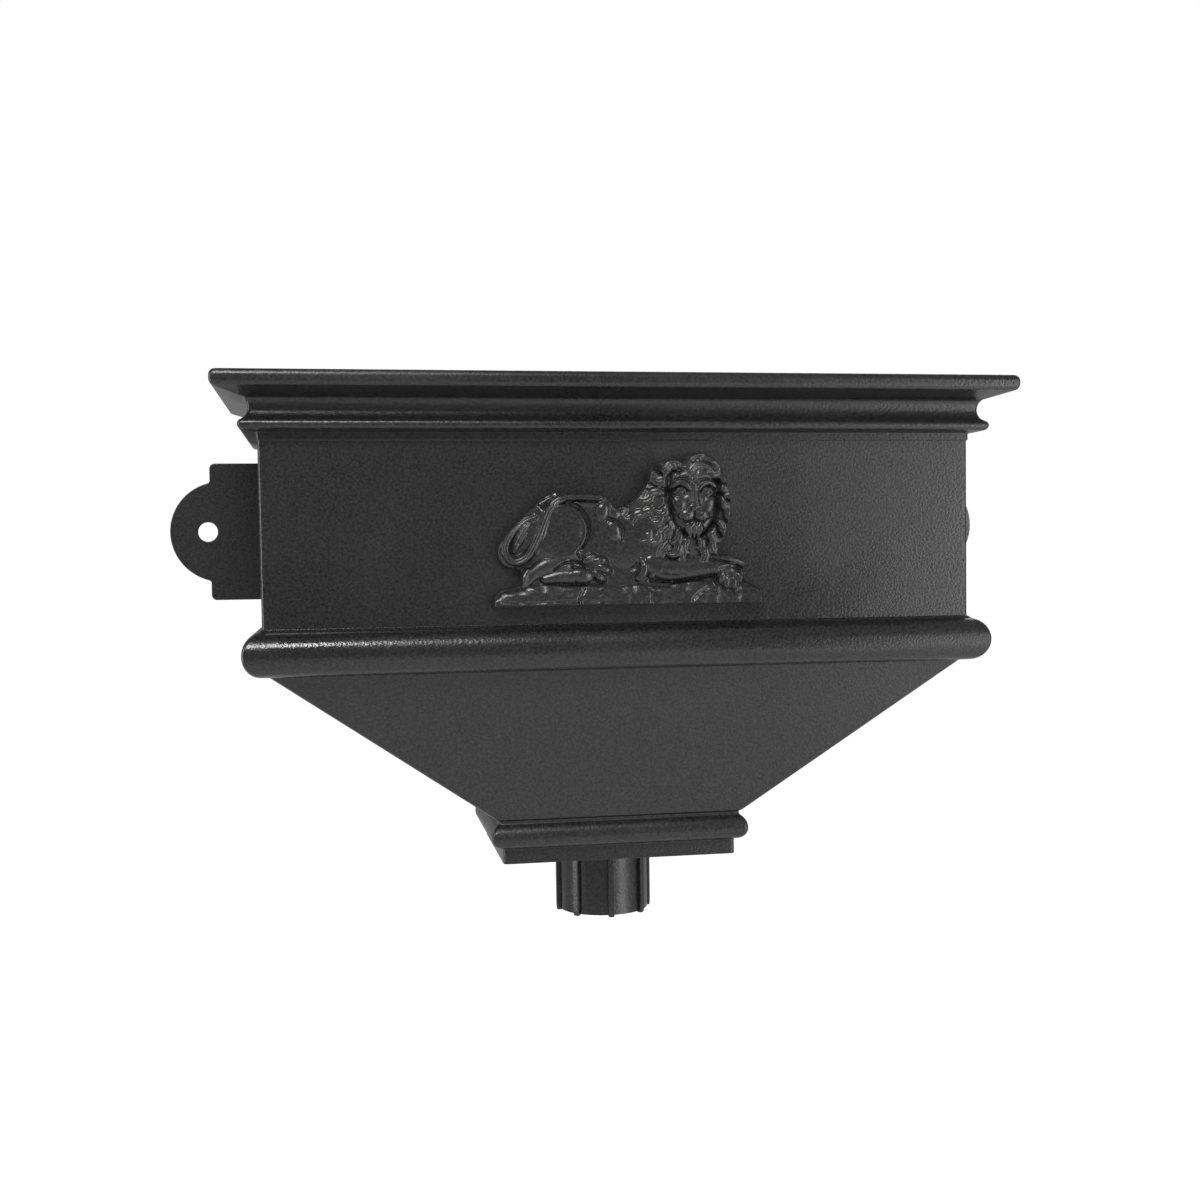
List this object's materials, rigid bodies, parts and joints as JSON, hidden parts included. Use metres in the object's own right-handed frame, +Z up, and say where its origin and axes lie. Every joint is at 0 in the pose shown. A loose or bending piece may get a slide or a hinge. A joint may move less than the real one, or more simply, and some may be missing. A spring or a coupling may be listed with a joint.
{
  "type": "downpipe hopper head",
  "caption": "Rainwater hopper head: an open moulded box with cornice, half-round belt, funnel, collar and ribbed outlet spigot, wall lugs either side and a bonded lion relief.",
  "frame": {"origin": "on the flat back face, midway between the screw holes of the two lugs", "axes": "+Z up, +Y into the wall so the front looks along -Y, +X to the right seen from the front"},
  "size_m": [0.5636, 0.1697, 0.345],
  "materials": {
    "hopper_moulding": "charcoal black, satin with a fine moulded grain",
    "motif_moulding": "charcoal black, satin with a fine moulded grain"
  },
  "bodies": {
    "root": {"hopper_head": "hopper_moulding", "lion_motif": "motif_moulding"}
  },
  "joints": []
}
